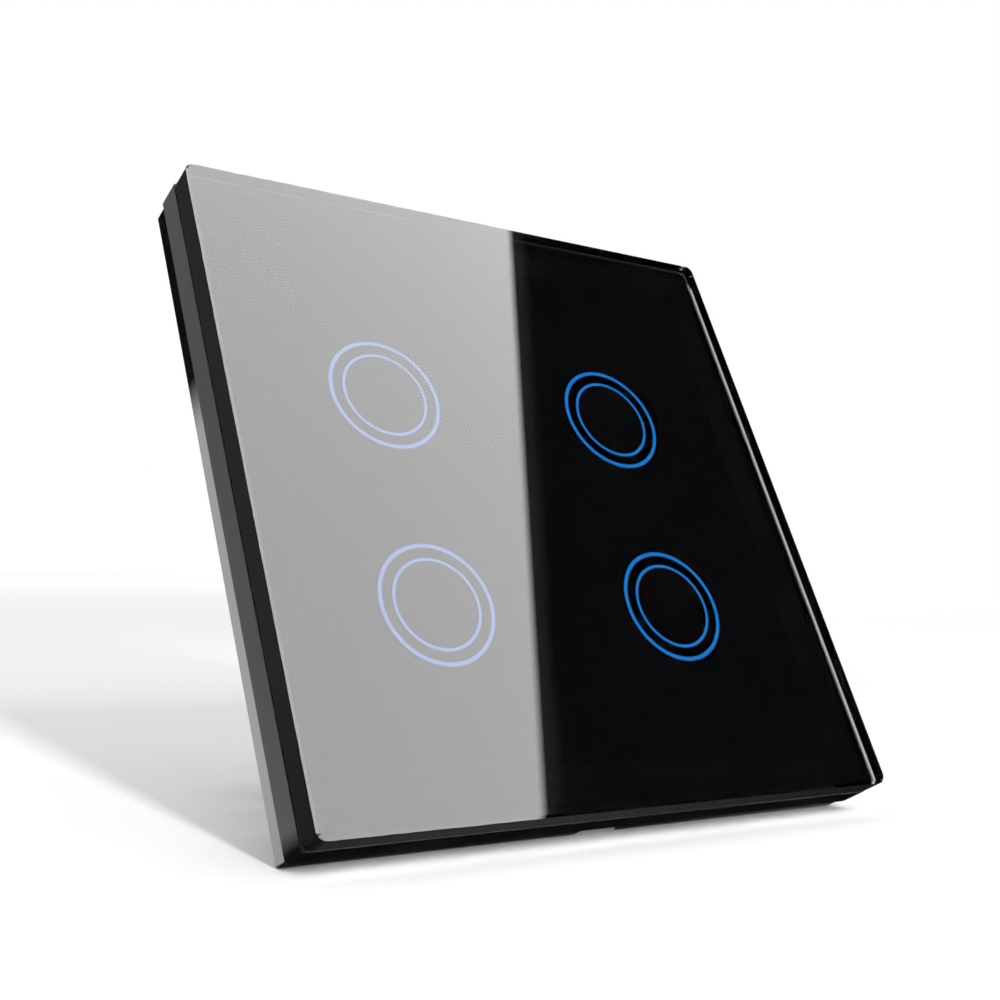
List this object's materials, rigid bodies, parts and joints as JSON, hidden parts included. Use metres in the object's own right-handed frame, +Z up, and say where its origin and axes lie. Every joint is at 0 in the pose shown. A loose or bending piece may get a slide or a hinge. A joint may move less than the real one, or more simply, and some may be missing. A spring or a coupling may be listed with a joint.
{
  "type": "smart light switch",
  "caption": "Square wall switch with a black glass front, touch buttons marked by double blue rings, a pull-off front panel and a rear housing with wire terminals.",
  "frame": {"origin": "centre of the wall plane, the back of the plate's rim", "axes": "+Z up on the wall, +X to the right seen from the front, the glass faces -Y"},
  "size_m": [0.086, 0.0415, 0.086],
  "materials": {
    "glass": "polished toughened glass with ground edges",
    "film": "dark smoked print",
    "tape": "foam adhesive tape",
    "frame_plastic": "fine matt black moulding",
    "base_plastic": "satin black moulding",
    "ring_light": "clear light guide lit blue",
    "mask_black": "matt black",
    "cover_plastic": "black moulding",
    "housing_plastic": "black flame-retardant moulding",
    "board": "green solder mask",
    "lamp": "small surface-mounted lamps",
    "chip": "black chip package",
    "shield": "tinned steel shield",
    "spring_steel": "spring steel",
    "screw_steel": "zinc-plated steel",
    "tinned": "tin-plated copper",
    "brass": "plated brass",
    "relay_plastic": "relay case",
    "copper": "enamelled copper winding",
    "terminal_plastic": "green terminal moulding",
    "capacitor_can": "sleeved aluminium can",
    "film_box": "yellow resin box",
    "ceramic": "resin-dipped disc",
    "ferrite": "ferrite core"
  },
  "bodies": {
    "switch_base": {"mounting_base": "base_plastic", "module_cover": "cover_plastic", "touch_board": "board", "ring_leds": "lamp", "touch_chip": "chip", "wifi_module": "board", "wifi_shield": "shield", "header_pins": "chip", "header_socket": "chip", "rear_housing": "housing_plastic", "housing_screws": "screw_steel", "power_board": "board", "relay_cases": "relay_plastic", "relay_bases": "chip", "relay_coils": "copper", "relay_yokes": "spring_steel", "relay_contacts": "brass", "transformer_core": "ferrite", "transformer_winding": "copper", "electrolytic_capacitor": "capacitor_can", "film_capacitor": "film_box", "fuse": "ceramic", "varistor": "ceramic", "rectifier": "chip", "terminal_block": "terminal_plastic", "terminal_bars": "tinned", "touch_spring_1": "spring_steel", "touch_spring_2": "spring_steel", "touch_spring_3": "spring_steel", "touch_spring_4": "spring_steel"},
    "glass_front": {"glass_panel": "glass", "smoked_film": "film", "glass_tape": "tape", "panel_frame": "frame_plastic", "ring_masks": "mask_black", "panel_clips": "spring_steel", "ring_light_guide_1": "ring_light", "ring_light_guide_2": "ring_light", "ring_light_guide_3": "ring_light", "ring_light_guide_4": "ring_light"},
    "terminal_screw_1": {"terminal_screw_1": "screw_steel"},
    "terminal_cage_1": {"terminal_cage_1": "brass"},
    "terminal_screw_2": {"terminal_screw_2": "screw_steel"},
    "terminal_cage_2": {"terminal_cage_2": "brass"},
    "terminal_screw_3": {"terminal_screw_3": "screw_steel"},
    "terminal_cage_3": {"terminal_cage_3": "brass"},
    "terminal_screw_4": {"terminal_screw_4": "screw_steel"},
    "terminal_cage_4": {"terminal_cage_4": "brass"},
    "terminal_screw_5": {"terminal_screw_5": "screw_steel"},
    "terminal_cage_5": {"terminal_cage_5": "brass"},
    "terminal_screw_6": {"terminal_screw_6": "screw_steel"},
    "terminal_cage_6": {"terminal_cage_6": "brass"},
    "relay_armature_1": {"relay_armature_1": "spring_steel"},
    "relay_armature_2": {"relay_armature_2": "spring_steel"},
    "relay_armature_3": {"relay_armature_3": "spring_steel"},
    "relay_armature_4": {"relay_armature_4": "spring_steel"}
  },
  "joints": [
    {"name": "panel_pull", "type": "slide", "parent": "switch_base", "child": "glass_front", "axis": [0, -1, 0], "range_m": [0, 0.02], "deforming": ["panel_clips"]},
    {"name": "terminal_screw_turn_1", "type": "hinge", "parent": "switch_base", "child": "terminal_screw_1", "pos_m": [-0.0175, 0.0304, -0.0188], "axis": [0, -1, 0], "range_deg": [0, 1800]},
    {"name": "terminal_cage_slide_1", "type": "slide", "parent": "switch_base", "child": "terminal_cage_1", "axis": [0, 1, 0], "range_m": [0, 0.0025]},
    {"name": "terminal_screw_turn_2", "type": "hinge", "parent": "switch_base", "child": "terminal_screw_2", "pos_m": [-0.0105, 0.0304, -0.0188], "axis": [0, -1, 0], "range_deg": [0, 1800]},
    {"name": "terminal_cage_slide_2", "type": "slide", "parent": "switch_base", "child": "terminal_cage_2", "axis": [0, 1, 0], "range_m": [0, 0.0025]},
    {"name": "terminal_screw_turn_3", "type": "hinge", "parent": "switch_base", "child": "terminal_screw_3", "pos_m": [-0.0035, 0.0304, -0.0188], "axis": [0, -1, 0], "range_deg": [0, 1800]},
    {"name": "terminal_cage_slide_3", "type": "slide", "parent": "switch_base", "child": "terminal_cage_3", "axis": [0, 1, 0], "range_m": [0, 0.0025]},
    {"name": "terminal_screw_turn_4", "type": "hinge", "parent": "switch_base", "child": "terminal_screw_4", "pos_m": [0.0035, 0.0304, -0.0188], "axis": [0, -1, 0], "range_deg": [0, 1800]},
    {"name": "terminal_cage_slide_4", "type": "slide", "parent": "switch_base", "child": "terminal_cage_4", "axis": [0, 1, 0], "range_m": [0, 0.0025]},
    {"name": "terminal_screw_turn_5", "type": "hinge", "parent": "switch_base", "child": "terminal_screw_5", "pos_m": [0.0105, 0.0304, -0.0188], "axis": [0, -1, 0], "range_deg": [0, 1800]},
    {"name": "terminal_cage_slide_5", "type": "slide", "parent": "switch_base", "child": "terminal_cage_5", "axis": [0, 1, 0], "range_m": [0, 0.0025]},
    {"name": "terminal_screw_turn_6", "type": "hinge", "parent": "switch_base", "child": "terminal_screw_6", "pos_m": [0.0175, 0.0304, -0.0188], "axis": [0, -1, 0], "range_deg": [0, 1800]},
    {"name": "terminal_cage_slide_6", "type": "slide", "parent": "switch_base", "child": "terminal_cage_6", "axis": [0, 1, 0], "range_m": [0, 0.0025]},
    {"name": "relay_armature_swing_1", "type": "hinge", "parent": "switch_base", "child": "relay_armature_1", "pos_m": [-0.0123, 0.0214, -0.00617], "axis": [1, 0, 0], "range_deg": [0, 2], "stiffness_Nm_per_rad": 0.004, "springref_deg": -8.59},
    {"name": "relay_armature_swing_2", "type": "hinge", "parent": "switch_base", "child": "relay_armature_2", "pos_m": [-0.0041, 0.0214, -0.00617], "axis": [1, 0, 0], "range_deg": [0, 2], "stiffness_Nm_per_rad": 0.004, "springref_deg": -8.59},
    {"name": "relay_armature_swing_3", "type": "hinge", "parent": "switch_base", "child": "relay_armature_3", "pos_m": [0.0041, 0.0214, -0.00617], "axis": [1, 0, 0], "range_deg": [0, 2], "stiffness_Nm_per_rad": 0.004, "springref_deg": -8.59},
    {"name": "relay_armature_swing_4", "type": "hinge", "parent": "switch_base", "child": "relay_armature_4", "pos_m": [0.0123, 0.0214, -0.00617], "axis": [1, 0, 0], "range_deg": [0, 2], "stiffness_Nm_per_rad": 0.004, "springref_deg": -8.59}
  ],
  "couplings": [
    {"joint": "terminal_screw_turn_1", "follows": "terminal_cage_slide_1", "rad_per_m": 12566},
    {"joint": "terminal_screw_turn_2", "follows": "terminal_cage_slide_2", "rad_per_m": 12566},
    {"joint": "terminal_screw_turn_3", "follows": "terminal_cage_slide_3", "rad_per_m": 12566},
    {"joint": "terminal_screw_turn_4", "follows": "terminal_cage_slide_4", "rad_per_m": 12566},
    {"joint": "terminal_screw_turn_5", "follows": "terminal_cage_slide_5", "rad_per_m": 12566},
    {"joint": "terminal_screw_turn_6", "follows": "terminal_cage_slide_6", "rad_per_m": 12566}
  ]
}
